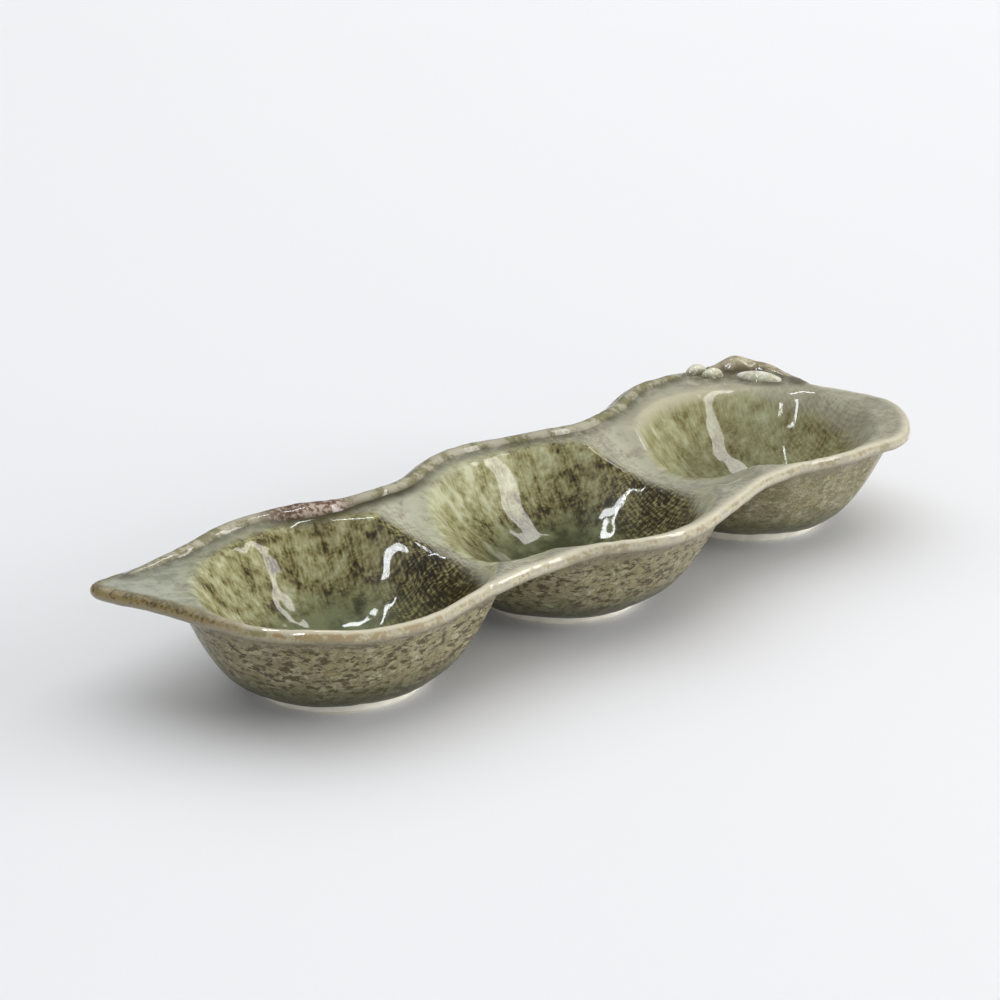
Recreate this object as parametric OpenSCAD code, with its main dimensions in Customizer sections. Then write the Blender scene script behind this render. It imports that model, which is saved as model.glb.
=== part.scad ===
/* [Wells] */
// Distance from the middle well to the well at the tip, in mm
tip_pitch = 78.8; // [74:0.2:90]
// Distance from the middle well to the well at the stalk
stem_pitch = 82; // [76:0.2:92]
// How far the tip well stands toward the seam from the middle well
tip_bend = 1.2; // [0:0.1:6]
// How far the stalk well stands toward the seam from the middle well
stem_bend = 2.6; // [0:0.1:6]
// Half lengths of the three hollows, from tip to stalk
well_half_lengths = [40, 41, 35.5]; // [33:0.5:42]
// Half widths of the three hollows
well_half_widths = [32.5, 36, 32.5]; // [28:0.5:37]
// How far the three hollows lie toward the front of their feet
well_leans = [5, 4.5, 5]; // [2:0.1:6]
// How far the hollow at the stalk lies toward the middle, to leave room for the leaf
stem_well_shift = 3; // [0:0.1:4]
// Thickness of the floors over the feet
floor_thickness = 4.3; // [3.8:0.1:8]
// Roundness of the hollows: 2 is a plain curve, more gives a flatter floor
well_power = 2.6; // [2:0.1:4]

/* [Rim] */
// Height of the flat rim above the table
rim_height = 30.6; // [26:0.1:40]
// Radius of the round lip, half the rim's thickness
lip_radius = 1.8; // [1.2:0.1:2.1]
// Width of the outline across the middle well, inside its round lip
pod_width = 85.2; // [83:0.1:92]
// Front bulges of the outline beside the three wells, as shares of the width
front_shares = [0.432, 0.507, 0.464]; // [0.42:0.001:0.54]
// Front waists of the outline, as shares of the width
front_waist_shares = [0.393, 0.391]; // [0.36:0.001:0.44]
// Where the front waists lie, as shares of the tip and stalk distances
front_waist_places = [0.457, 0.683]; // [0.4:0.001:0.7]
// Seam bulges of the outline beside the three wells, as shares of the width
seam_shares = [0.464, 0.493, 0.495]; // [0.45:0.001:0.54]
// Seam waists of the outline, as shares of the width
seam_waist_shares = [0.372, 0.376]; // [0.36:0.001:0.44]
// Radius of the outline's round end beyond the tip well
tip_end_radius = 42.6; // [42:0.1:50]
// Distance from the tip well's centre to the point of the tip
tip_reach = 58.4; // [50:0.1:70]
// Turn of the tip toward the seam, in degrees
tip_turn = 31; // [20:1:40]
// Spread of the tip to either side, in degrees
tip_spread = 34; // [28:1:40]
// Sharpness of the tip: more hollows its sides
tip_power = 2.5; // [1.5:0.1:3]
// Radius of the outline at the stalk end's front corner
stem_heel_radius = 45; // [42:0.1:50]
// Radius of the outline at the stalk end's outermost bulge
stem_side_radius = 46.2; // [42:0.1:50]
// Radius of the outline where it draws in beside the stalk
stem_neck_radius = 37.8; // [37:0.1:46]
// Radius of the outline at the stalk's corner
stem_corner_radius = 50; // [48:0.1:56]

/* [Saddles] */
// How far the ridges between the wells dip below the rim
saddle_dip = 8; // [3:0.5:10]
// Half length of each dip along the pod
saddle_half_length = 17; // [12:0.5:20]
// Half width of each dip across the pod
saddle_half_width = 28; // [20:0.5:28]

/* [Outside] */
// Half lengths of the outer walls where they meet the rim
wall_half_lengths = [41.3, 43.5, 40.2]; // [39.5:0.1:46]
// Half widths of the outer walls where they meet the rim
wall_half_widths = [38.5, 42, 39]; // [37:0.1:45]
// How far the outer walls lean toward the front
wall_lean = 2; // [0:0.1:4]
// Fullness of the outer walls: more makes a rounder belly
wall_power = 1.9; // [1.4:0.1:2.4]

/* [Feet] */
// Outer radius of each foot ring
foot_radius = 21.8; // [18:0.1:24]
// Width of each foot ring
foot_width = 5; // [3:0.1:8]
// Height of each foot ring
foot_height = 2.8; // [2:0.1:4]
// Rounding of the foot's bottom edges
foot_round = 0.6; // [0.2:0.1:0.9]

/* [Seam rib] */
// Width of the rib along the seam
rib_width = 5.5; // [3:0.1:6]
// Height of the rib above the rim
rib_height = 2.2; // [1:0.1:4]
// Extra width of the fold in the rib, between the tip well and the waist beside it
fold_width = 3.2; // [0:0.1:3.2]

/* [Stalk, leaf and buds] */
// Width of the stalk at its thickest
stalk_width = 7.2; // [5:0.1:8.5]
// Height of the stalk at its thickest
stalk_height = 4.9; // [3:0.1:7]
// Length of the leaf
leaf_length = 14.5; // [10:0.5:16]
// Width of the leaf
leaf_width = 7.2; // [4:0.1:8]
// Height of the leaf
leaf_height = 2.8; // [1.5:0.1:4]
// Distance from the outline in to the middle of the leaf
leaf_inset = 12.4; // [12:0.1:14]
// Length of the buds
bud_length = 7.6; // [6:0.1:8]
// Width of the buds
bud_width = 4.8; // [4:0.1:5]
// Height of the buds
bud_height = 3.4; // [2:0.1:5]
// Distance from the outline in to the middle of the outer bud
outer_bud_inset = 4.3; // [3.8:0.1:4.4]
// Gap between the two buds
bud_gap = 0.6; // [0.4:0.1:2]

/* [Fineness] */
// Steps of the outline along half a well
side_steps = 8; // [6:1:12]
// Steps of the outline round each end, an even number
end_steps = 28; // [20:2:36]
// Steps along each ridge, an even number
ridge_steps = 12; // [8:2:16]
// Rings up each hollow
hollow_rings = 9; // [6:1:12]
// Rings up each outer wall
wall_rings = 6; // [4:1:9]

/* [Hidden] */

glaze_colour = [0.47, 0.47, 0.33];
clay_colour = [0.85, 0.82, 0.74];
leaf_colour = [0.62, 0.64, 0.5];

// Plan positions of the wells; the seam lies toward +Y and the stalk toward +X
wells = [[-tip_pitch, tip_bend], [0, 0], [stem_pitch, stem_bend]];
ridge_places = [-tip_pitch / 2, stem_pitch / 2];
front_bulges = pod_width * front_shares;
front_waists = pod_width * front_waist_shares;
seam_bulges = pod_width * seam_shares;
seam_waists = pod_width * seam_waist_shares;

// Curves are summed by this power, which rounds the ridges between them
blend_power = 3;
edge_softness = 0.15;
dip_softness = 0.15;
wall_softness = 0.06;
seat_margin = 0.7;
least_brim = 0.8;
least_share = 0.1;
seat_radius = foot_radius + seat_margin;
seat_rings = 2;
flat_rings = 2;
lip_steps = 5;
tip_roundness = 2.5;
tip_crowding = 1.5;
saddle_lean = 4;

rim_under = rim_height - 2 * lip_radius;
wall_drop = rim_under - foot_height;
well_depth = rim_height - foot_height - floor_thickness;

function mix(a, b, share) = a + (b - a) * share;
function eased(share) = 0.5 - 0.5 * cos(180 * share);
function total(list, i = 0) = i == len(list) ? 0 : list[i] + total(list, i + 1);
function direction(v) = v / norm(v);

// Smooth wave through stations of [place, value]
function wave(stations, place, i = 0) =
    i < len(stations) - 2 && place > stations[i + 1][0] ? wave(stations, place, i + 1) :
    mix(stations[i][1], stations[i + 1][1],
        eased((place - stations[i][0]) / (stations[i + 1][0] - stations[i][0])));

// Positive part of a number with a rounded corner
function soft(value, softness) =
    value > softness ? value : value < -softness ? 0 : pow(value + softness, 2) / (4 * softness);

function axis_y(x) = x < 0 ? tip_bend * pow(x / tip_pitch, 2) : stem_bend * pow(x / stem_pitch, 2);

front_stations = [
    [-tip_pitch, front_bulges[0]],
    [-tip_pitch * front_waist_places[0], front_waists[0]],
    [0, front_bulges[1]],
    [stem_pitch * front_waist_places[1], front_waists[1]],
    [stem_pitch, front_bulges[2]]];
seam_stations = [
    [-tip_pitch, seam_bulges[0]],
    [ridge_places[0], seam_waists[0]],
    [0, seam_bulges[1]],
    [ridge_places[1], seam_waists[1]],
    [stem_pitch, seam_bulges[2]]];
stem_stations = [
    [-90, front_bulges[2]],
    [-58, stem_heel_radius],
    [-23, stem_side_radius],
    [6, stem_neck_radius],
    [39, stem_corner_radius],
    [90, seam_bulges[2]]];

function front_point(x) = [x, axis_y(x) - wave(front_stations, x)];
function seam_point(x) = [x, axis_y(x) + wave(seam_stations, x)];

// Angles at the ends are measured from the pod's axis, positive toward the seam
function tip_base(angle) =
    mix(tip_end_radius, angle > 0 ? seam_bulges[0] : front_bulges[0], pow(sin(angle), 2));
function tip_swing(angle) = sqrt(pow(angle - tip_turn, 2) + pow(tip_roundness, 2)) - tip_roundness;
function tip_radius(angle) = tip_base(angle)
    + (tip_reach - tip_base(tip_turn)) * pow(max(0, 1 - tip_swing(angle) / tip_spread), tip_power);
function tip_point(angle) = wells[0] + tip_radius(angle) * [-cos(angle), sin(angle)];
function stem_radius(angle) = wave(stem_stations, angle);
function stem_point(angle) = wells[2] + stem_radius(angle) * [cos(angle), sin(angle)];

// The outline runs along the front, round the stalk end, back along the seam and round the tip
half_end = end_steps / 2;
outline = concat(
    [for (i = [0 : side_steps - 1]) front_point(mix(-tip_pitch, ridge_places[0], i / side_steps))],
    [for (i = [0 : 2 * side_steps - 1]) front_point(mix(ridge_places[0], ridge_places[1], i / 2 / side_steps))],
    [for (i = [0 : side_steps - 1]) front_point(mix(ridge_places[1], stem_pitch, i / side_steps))],
    [for (i = [0 : end_steps - 1]) stem_point(mix(-90, 90, i / end_steps))],
    [for (i = [0 : side_steps - 1]) seam_point(mix(stem_pitch, ridge_places[1], i / side_steps))],
    [for (i = [0 : 2 * side_steps - 1]) seam_point(mix(ridge_places[1], ridge_places[0], i / 2 / side_steps))],
    [for (i = [0 : side_steps - 1]) seam_point(mix(ridge_places[0], -tip_pitch, i / side_steps))],
    [for (i = [0 : half_end - 1]) tip_point(mix(tip_turn, 90, pow(1 - i / half_end, tip_crowding)))],
    [for (i = [0 : half_end - 1]) tip_point(mix(tip_turn, -90, pow(i / half_end, tip_crowding)))]);
outline_count = len(outline);

function outward(line, i) =
    let (before = line[(i + len(line) - 1) % len(line)], after = line[(i + 1) % len(line)])
    direction([after.y - before.y, before.x - after.x]);

// Where the outline passes the wells and ridges
front_ridge_1 = side_steps;
front_ridge_2 = 3 * side_steps;
seam_ridge_2 = 5 * side_steps + end_steps;
seam_ridge_1 = 7 * side_steps + end_steps;

// Depth of the hollows and dips below the rim at a place in plan
hollows = [for (i = [0 : 2]) wells[i] - [i == 2 ? stem_well_shift : 0, well_leans[i]]];
function hollow_share(i, away) = norm([away.x / well_half_lengths[i], away.y / well_half_widths[i]]);
function hollow_depth(i, p) =
    well_depth * soft(1 - pow(hollow_share(i, p - hollows[i]), well_power), edge_softness);
function dip_depth(i, p) =
    let (
        along = (p.x - ridge_places[i]) / saddle_half_length,
        across = (p.y - axis_y(ridge_places[i]) + saddle_lean) / saddle_half_width)
    saddle_dip * soft(1 - along * along - across * across, dip_softness);
function top_z(p) = rim_height - pow(total(concat(
    [for (i = [0 : 2]) pow(hollow_depth(i, p), blend_power)],
    [for (i = [0 : 1]) pow(dip_depth(i, p), blend_power)])), 1 / blend_power);

// Outer walls swell from the foot's seat to their edge under the rim, which stays inside the outline
function side_share(p) =
    let (x = max(-tip_pitch, min(stem_pitch, p.x)), across = p.y - axis_y(x))
    abs(across) / wave(across < 0 ? front_stations : seam_stations, x);
function outline_reach(i, away) =
    i == 0 && away.x < 0 ? tip_radius(atan2(away.y, -away.x)) :
    i == 2 && away.x > 0 ? stem_radius(atan2(away.y, away.x)) :
    norm(away) / max(least_share, side_share(wells[i] + away));
function wall_oval(i, away) = norm(away) / norm([away.x / wall_half_lengths[i], away.y / wall_half_widths[i]])
    - wall_lean * away.y / norm(away);
function wall_reach(i, away) = min(wall_oval(i, away), outline_reach(i, away) - least_brim);
function wall_depth(i, p) =
    let (away = p - wells[i], reach = norm(away))
    reach <= seat_radius ? wall_drop :
    let (share = (reach - seat_radius) / (wall_reach(i, away) - seat_radius))
    wall_drop * min(1, soft(1 - pow(share, wall_power), wall_softness));
function under_z(p) = min(
    top_z(p) - 2 * lip_radius,
    rim_under - min(wall_drop, pow(total([for (i = [0 : 2]) pow(wall_depth(i, p), blend_power)]), 1 / blend_power)));

// Each well's border as places on the outline, [0, step], and on the ridges, [1, ridge, step]
borders = [
    concat([for (i = [0 : front_ridge_1]) [0, i]], [for (i = [1 : ridge_steps - 1]) [1, 0, i]],
        [for (i = [seam_ridge_1 : outline_count - 1]) [0, i]]),
    concat([for (i = [front_ridge_1 : front_ridge_2]) [0, i]], [for (i = [1 : ridge_steps - 1]) [1, 1, i]],
        [for (i = [seam_ridge_2 : seam_ridge_1]) [0, i]],
        [for (i = [1 : ridge_steps - 1]) [1, 0, ridge_steps - i]]),
    concat([for (i = [front_ridge_2 : seam_ridge_2]) [0, i]],
        [for (i = [1 : ridge_steps - 1]) [1, 1, ridge_steps - i]])];
ridge_ends = [[outline[front_ridge_1], outline[seam_ridge_1]], [outline[front_ridge_2], outline[seam_ridge_2]]];

function border_point(place) = place[0] == 0 ? outline[place[1]] :
    mix(ridge_ends[place[1]][0], ridge_ends[place[1]][1], place[2] / ridge_steps);

// Points of one side of a well, centre first and then ring by ring. The rings follow the hollow or the wall up to
// its edge, and then cross the flat rim to the border
border_share = 0.95;
edge_swell = pow(1 + edge_softness, 1 / well_power);
function hollow_points(i) = concat([hollows[i]],
    [for (ring = [1 : hollow_rings]) for (place = borders[i])
        let (away = border_point(place) - hollows[i])
        hollows[i] + away * min(border_share, edge_swell / hollow_share(i, away)) * ring / hollow_rings],
    [for (ring = [1 : flat_rings - 1]) for (place = borders[i])
        let (away = border_point(place) - hollows[i])
        hollows[i] + away * mix(min(border_share, edge_swell / hollow_share(i, away)), 1, ring / flat_rings)]);
function wall_points(i) = concat([wells[i]],
    [for (ring = [1 : seat_rings]) for (place = borders[i])
        wells[i] + direction(border_point(place) - wells[i]) * seat_radius * ring / seat_rings],
    [for (ring = [1 : wall_rings]) for (place = borders[i])
        let (away = border_point(place) - wells[i], edge = min(norm(away) * border_share, wall_reach(i, away)))
        wells[i] + direction(away) * mix(seat_radius, edge, ring / wall_rings)],
    [for (ring = [1 : flat_rings - 1]) for (place = borders[i])
        let (away = border_point(place) - wells[i], edge = min(norm(away) * border_share, wall_reach(i, away)))
        wells[i] + direction(away) * mix(edge, norm(away), ring / flat_rings)]);

lip_points = [for (i = [0 : outline_count - 1]) for (step = [0 : lip_steps])
    let (turn = 90 - 180 * step / lip_steps, side = outline[i] + outward(outline, i) * lip_radius * cos(turn))
    step == lip_steps ? [outline[i].x, outline[i].y, under_z(outline[i])] :
    [side.x, side.y, rim_height - lip_radius + lip_radius * sin(turn)]];
ridge_points = [for (ridge = [0 : 1]) for (i = [1 : ridge_steps - 1])
    let (p = border_point([1, ridge, i])) each [[p.x, p.y, top_z(p)], [p.x, p.y, under_z(p)]]];

// The part's origin lies on the table under the middle of the outline's box
box_middle = [for (axis = [0 : 1])
    (min([for (p = lip_points) p[axis]]) + max([for (p = lip_points) p[axis]])) / 2];

module on_table(colour) {
    color(colour)
    translate(-box_middle)
    children();
}

border_points = concat(lip_points, ridge_points);
function border_index(place, under) = place[0] == 0 ? place[1] * (lip_steps + 1) + (under ? lip_steps : 0) :
    len(lip_points) + 2 * (place[1] * (ridge_steps - 1) + place[2] - 1) + (under ? 1 : 0);

// Triangles between the rings of one side of a well, which starts at a given point
function ring_index(start, i, rings, ring, k, under) =
    let (count = len(borders[i]), place = k % count)
    ring == rings ? border_index(borders[i][place], under) : start + 1 + (ring - 1) * count + place;
function side_faces(start, i, rings, under) = [
    for (k = [0 : len(borders[i]) - 1])
        let (a = ring_index(start, i, rings, 1, k, under), b = ring_index(start, i, rings, 1, k + 1, under))
        under ? [start, a, b] : [start, b, a],
    for (ring = [1 : rings - 1]) for (k = [0 : len(borders[i]) - 1])
        let (
            a = ring_index(start, i, rings, ring, k, under),
            b = ring_index(start, i, rings, ring, k + 1, under),
            c = ring_index(start, i, rings, ring + 1, k + 1, under),
            d = ring_index(start, i, rings, ring + 1, k, under))
        each under ? [[a, c, b], [a, d, c]] : [[a, b, c], [a, c, d]]];
lip_faces = [for (i = [0 : outline_count - 1]) for (step = [0 : lip_steps - 1])
    let (
        a = i * (lip_steps + 1) + step,
        b = (i + 1) % outline_count * (lip_steps + 1) + step)
    each [[a, b, b + 1], [a, b + 1, a + 1]]];

module pod_shell() {
    sides = concat(
        [for (i = [0 : 2]) [for (p = hollow_points(i)) [p.x, p.y, top_z(p)]]],
        [for (i = [0 : 2]) [for (p = wall_points(i)) [p.x, p.y, under_z(p)]]]);
    starts = [for (i = [0 : 5]) len(border_points) + total([for (j = [0 : 1 : i - 1]) len(sides[j])])];
    on_table(glaze_colour)
    polyhedron(
        points = concat(border_points, [for (side = sides) each side]),
        faces = concat(
            lip_faces,
            [for (i = [0 : 2]) each side_faces(starts[i], i, hollow_rings + flat_rings, false)],
            [for (i = [0 : 2]) each side_faces(starts[i + 3], i, seat_rings + wall_rings + flat_rings, true)]));
}

module foot(i) {
    inner = foot_radius - foot_width;
    on_table(clay_colour)
    translate(wells[i])
    rotate_extrude($fn = 96)
    polygon([
        [inner, foot_height],
        [inner, foot_round],
        [inner + foot_round, 0],
        [foot_radius - foot_round, 0],
        [foot_radius, foot_round],
        [foot_radius, foot_height]]);
}

module tip_foot() {
    foot(0);
}

module middle_foot() {
    foot(1);
}

module stem_foot() {
    foot(2);
}

// A coil of clay pressed flat onto the rim along a line, half round in section and closed at both ends.
// The line's points are [x, y, width, height]
bead_sides = 10;
function bead_ring(line, i) =
    let (
        before = line[max(0, i - 1)],
        after = line[min(len(line) - 1, i + 1)],
        side = direction([after.y - before.y, before.x - after.x]))
    [for (k = [0 : bead_sides])
        let (turn = 180 * k / bead_sides, reach = line[i][2] / 2 * cos(turn))
        [line[i].x + side.x * reach, line[i].y + side.y * reach, rim_height + line[i][3] * sin(turn)]];

module bead(line) {
    ring = bead_sides + 1;
    last = len(line) - 1;
    polyhedron(
        points = [for (i = [0 : last]) each bead_ring(line, i)],
        faces = concat(
            [[for (k = [0 : bead_sides]) k]],
            [[for (k = [0 : bead_sides]) last * ring + bead_sides - k]],
            [for (i = [0 : last - 1]) for (k = [0 : bead_sides])
                let (a = i * ring + k, b = i * ring + (k + 1) % ring)
                each [[a, a + ring, b + ring], [a, b + ring, b]]]));
}

// Shrinks a coil's size toward both ends of its line, leaving a small blunt end
blunt_end = 0.25;
function swelling(share, power) = mix(blunt_end, 1, pow(max(0, 1 - pow(abs(2 * share - 1), power)), 0.5));

rim_gap = 0.4;

// The rib starts this far round from the point of the tip and ends at this angle round the stalk well
rib_start_turn = 7;
rib_end_angle = 70;
rib_fullness = 14;

// The rib widens to its fold at this share of the way to the tip well, over this half length
fold_place = 0.77;
fold_half_length = 16;
function fold_share(x) = 0.5 + 0.5 * cos(180 * min(1, abs(x + fold_place * tip_pitch) / fold_half_length));

module seam_rib() {
    tip_start = tip_turn + rib_start_turn;
    steps = 14;
    middle = [for (i = [1 : 6 * side_steps - 1]) seam_point(mix(-tip_pitch, stem_pitch, i / 6 / side_steps))];
    line = concat(
        [for (i = [0 : steps]) tip_point(mix(tip_start, 90, i / steps))],
        middle,
        [for (i = [0 : steps / 2]) stem_point(mix(90, rib_end_angle, i / steps * 2))]);
    last = len(line) - 1;
    on_table(glaze_colour)
    bead([for (i = [0 : last])
        let (
            before = line[max(0, i - 1)],
            after = line[min(last, i + 1)],
            inward = direction([after.y - before.y, before.x - after.x]),
            size = swelling(i / last, rib_fullness),
            width = rib_width + fold_width * fold_share(line[i].x),
            p = line[i] + inward * (rim_gap + width / 2))
        [p.x, p.y, width * size, rib_height * size]]);
}

// The stalk swells from its cut end to a hump and then thins out along the rim, as shares of its width and height
stalk_stations = [[0, 0.3], [0.25, 1], [0.48, 0.55], [0.85, 0.14], [1, 0.1]];
stalk_start_angle = 55;
stalk_end_angle = 14;

module stem_stalk() {
    steps = 22;
    on_table(glaze_colour)
    bead([for (i = [0 : steps])
        let (
            angle = mix(stalk_start_angle, stalk_end_angle, i / steps),
            size = wave(stalk_stations, i / steps),
            width = stalk_width * sqrt(size),
            p = stem_point(angle) - [cos(angle), sin(angle)] * (rim_gap + width / 2))
        [p.x, p.y, width, stalk_height * size]]);
}

// A place on the rim round the stalk well, set in from the outline
function rim_place(angle, inset) = stem_point(angle) - inset * [cos(angle), sin(angle)];

// A small leaf or bud on the rim beside the stalk. The turn is its direction and the power its fullness
module sprig(centre, turn, length, width, height, power) {
    steps = 12;
    along = [cos(turn), sin(turn)];
    bead([for (i = [0 : steps])
        let (size = swelling(i / steps, power), p = centre + along * length * (i / steps - 0.5))
        [p.x, p.y, width * size, height * size]]);
}

leaf_angle = 34.5;
leaf_turn = -70;
leaf_fullness = 1.4;
outer_bud_angle = 61.5;
outer_bud_turn = -8;
inner_bud_turn = -12;
bud_fullness = 2;

// The inner bud lies beside the outer one, in this direction
bud_side_angle = -75;
leaf_place = rim_place(leaf_angle, leaf_inset);
outer_bud_place = rim_place(outer_bud_angle, outer_bud_inset);
inner_bud_place = outer_bud_place + (bud_width + bud_gap) * [cos(bud_side_angle), sin(bud_side_angle)];

module leaf() {
    on_table(leaf_colour)
    sprig(leaf_place, leaf_turn, leaf_length, leaf_width, leaf_height, leaf_fullness);
}

module outer_bud() {
    on_table(leaf_colour)
    sprig(outer_bud_place, outer_bud_turn, bud_length, bud_width, bud_height, bud_fullness);
}

module inner_bud() {
    on_table(leaf_colour)
    sprig(inner_bud_place, inner_bud_turn, bud_length, bud_width, bud_height, bud_fullness);
}

pod_shell();
tip_foot();
middle_foot();
stem_foot();
seam_rib();
stem_stalk();
leaf();
outer_bud();
inner_bud();
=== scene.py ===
from math import cos, pi, radians, sin

import bmesh
import bpy
import numpy as np
from mathutils import Matrix, Vector


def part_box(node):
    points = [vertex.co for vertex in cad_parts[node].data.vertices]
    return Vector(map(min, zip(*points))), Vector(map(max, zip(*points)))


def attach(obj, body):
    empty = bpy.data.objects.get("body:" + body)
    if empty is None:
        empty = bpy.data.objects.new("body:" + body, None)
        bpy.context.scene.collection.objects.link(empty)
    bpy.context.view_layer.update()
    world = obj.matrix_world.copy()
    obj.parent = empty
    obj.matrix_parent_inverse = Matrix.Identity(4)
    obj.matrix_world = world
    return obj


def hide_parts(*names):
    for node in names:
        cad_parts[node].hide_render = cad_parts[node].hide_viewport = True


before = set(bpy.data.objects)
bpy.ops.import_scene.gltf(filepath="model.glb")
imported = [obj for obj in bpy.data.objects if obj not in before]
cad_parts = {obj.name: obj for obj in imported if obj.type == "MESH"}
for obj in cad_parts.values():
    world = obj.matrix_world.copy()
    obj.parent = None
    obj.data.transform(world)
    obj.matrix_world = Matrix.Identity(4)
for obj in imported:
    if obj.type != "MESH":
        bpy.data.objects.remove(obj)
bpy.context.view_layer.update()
mm = 0.001  # the pod's sizes are written in millimetres, measured from the middle foot


# Frame

def footCentre(node):
    low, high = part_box(node)
    return np.array((low + high)[:2]) / 2 / mm


footNodes = ("tip_foot", "middle_foot", "stem_foot")
feet = np.array([footCentre(node) for node in footNodes])
podMiddle = feet[1]
wells = feet - podMiddle
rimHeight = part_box("pod_shell")[1].z / mm
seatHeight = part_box("pod_shell")[0].z / mm
footRadius = (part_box("middle_foot")[1].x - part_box("middle_foot")[0].x) / 2 / mm
tipPitch, stemPitch = -wells[0][0], wells[2][0]
tipBend, stemBend = wells[0][1], wells[2][1]
print("frame loaded: wells", np.round(wells, 1).tolist(), "rim", round(rimHeight, 2))


# Outline of the pod

outlineShape = {
    "frontBulges": (36.81, 43.2, 39.53),  # half widths beside the wells, tip to stalk
    "frontWaists": (33.48, 33.31),
    "frontWaistPlaces": (0.457, 0.683),  # shares of the distance to each end well
    "seamBulges": (39.53, 42.0, 42.17),
    "seamWaists": (31.69, 32.04),
    "seamWaistPlaces": (0.5, 0.5),
    "tipEndRadius": 42.6,
    "tipReach": 58.4,
    "tipTurn": 31,  # degrees toward the seam
    "tipSpread": 34,
    "tipPower": 2.5,
    "tipRoundness": 2.5,
    "tipCrowding": 1.5,  # draws the outline's points together at the tip
    "stemAngles": (-58, -23, 6, 39),  # heel, side, neck and corner of the stalk end
    "stemRadii": (45.0, 46.2, 37.8, 50.0),
    "sideSteps": 190,
    "endSteps": 130,
    "smoothing": 6,
    "inset": 0.12,  # keeps the smooth lip inside the faceted one
}


def wave(stations, place):  # smooth wave through (place, value) stations
    places, values = np.array(stations, float).T
    i = np.clip(np.searchsorted(places, place) - 1, 0, len(places) - 2)
    share = (place - places[i]) / (places[i + 1] - places[i])
    return values[i] + (values[i + 1] - values[i]) * (0.5 - 0.5 * np.cos(pi * share))


def axisY(x):
    return np.where(x < 0, tipBend * (x / tipPitch) ** 2, stemBend * (x / stemPitch) ** 2)


def sideWidth(x, side):
    bulges, waists, places = (outlineShape[side + part] for part in ("Bulges", "Waists", "WaistPlaces"))
    stations = zip((-tipPitch, -tipPitch * places[0], 0, stemPitch * places[1], stemPitch),
                   (bulges[0], waists[0], bulges[1], waists[1], bulges[2]))
    return wave(list(stations), x)


def frontWidth(x):
    return sideWidth(x, "front")


def seamWidth(x):
    return sideWidth(x, "seam")


def frontPoint(x):
    return np.stack([x, axisY(x) - frontWidth(x)], -1)


def seamPoint(x):
    return np.stack([x, axisY(x) + seamWidth(x)], -1)


def stemRadius(angle):
    s = outlineShape
    return wave(list(zip((-90, *s["stemAngles"], 90),
                         (s["frontBulges"][2], *s["stemRadii"], s["seamBulges"][2]))), angle)


def stemPoint(angle):
    turn = np.radians(angle)
    return wells[2] + stemRadius(angle)[..., None] * np.stack([np.cos(turn), np.sin(turn)], -1)


def tipRadius(angle):
    s = outlineShape

    def endRadius(a):
        side = np.where(a > 0, s["seamBulges"][0], s["frontBulges"][0])
        return s["tipEndRadius"] + (side - s["tipEndRadius"]) * np.sin(np.radians(a)) ** 2

    swing = np.sqrt((angle - s["tipTurn"]) ** 2 + s["tipRoundness"] ** 2) - s["tipRoundness"]
    beak = np.clip(1 - swing / s["tipSpread"], 0, 1) ** s["tipPower"]
    return endRadius(angle) + (s["tipReach"] - endRadius(np.array(s["tipTurn"]))) * beak


def tipPoint(angle):
    turn = np.radians(angle)
    return wells[0] + tipRadius(angle)[..., None] * np.stack([-np.cos(turn), np.sin(turn)], -1)


def outward(line):
    along = np.roll(line, -1, 0) - np.roll(line, 1, 0)
    normal = np.stack([along[:, 1], -along[:, 0]], -1)
    return normal / np.linalg.norm(normal, axis=1, keepdims=True)


def podOutline():
    s = outlineShape
    side = np.linspace(-tipPitch, stemPitch, s["sideSteps"], endpoint=False)
    back = np.linspace(stemPitch, -tipPitch, s["sideSteps"], endpoint=False)
    half = np.linspace(0, 1, s["endSteps"] // 2, endpoint=False)
    toTip = s["tipTurn"] + (90 - s["tipTurn"]) * (1 - half) ** s["tipCrowding"]
    fromTip = s["tipTurn"] - (90 + s["tipTurn"]) * half ** s["tipCrowding"]
    line = np.concatenate([
        frontPoint(side),
        stemPoint(np.linspace(-90, 90, s["endSteps"], endpoint=False)),
        seamPoint(back),
        tipPoint(toTip),
        tipPoint(fromTip)])
    for _ in range(s["smoothing"]):
        line = (np.roll(line, 1, 0) + 2 * line + np.roll(line, -1, 0)) / 4
    line = line - outward(line) * s["inset"]
    spineX = np.concatenate([
        side, np.full(s["endSteps"], stemPitch), back, np.full(len(half) * 2, -tipPitch)])
    return line, spineX


# Hollows, saddles and outer walls

hollowShape = {
    "lengths": (40.0, 41.0, 35.5),  # half lengths, tip to stalk
    "widths": (32.5, 36.0, 32.5),
    "leans": (5.0, 4.5, 5.0),  # toward the front of the feet
    "stemShift": 3.0,
    "power": 2.6,
    "floor": 4.3,
    "softness": 0.15,
    "dip": 8.0,  # of the saddles between the wells
    "dipLength": 17.0,
    "dipWidth": 28.0,
    "dipLean": 4.0,
    "blend": 3,
}
wallShape = {
    "lengths": (41.3, 43.5, 40.2),
    "widths": (38.5, 42.0, 39.0),
    "lean": 2.0,
    "power": 1.9,
    "softness": 0.06,
    "seatMargin": 0.7,
    "leastBrim": 0.8,
    "leastShare": 0.1,
    "lipRadius": 1.8,
}
hollows = wells - np.stack([[0, 0, hollowShape["stemShift"]], hollowShape["leans"]], -1)
wellDepth = rimHeight - seatHeight - hollowShape["floor"]


def soft(value, k):  # positive part with a rounded corner
    return np.where(value > k, value, np.where(value < -k, 0, (value + k) ** 2 / (4 * k)))


def hollowShare(i, p):
    away = p - hollows[i]
    return np.hypot(away[..., 0] / hollowShape["lengths"][i], away[..., 1] / hollowShape["widths"][i])


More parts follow.
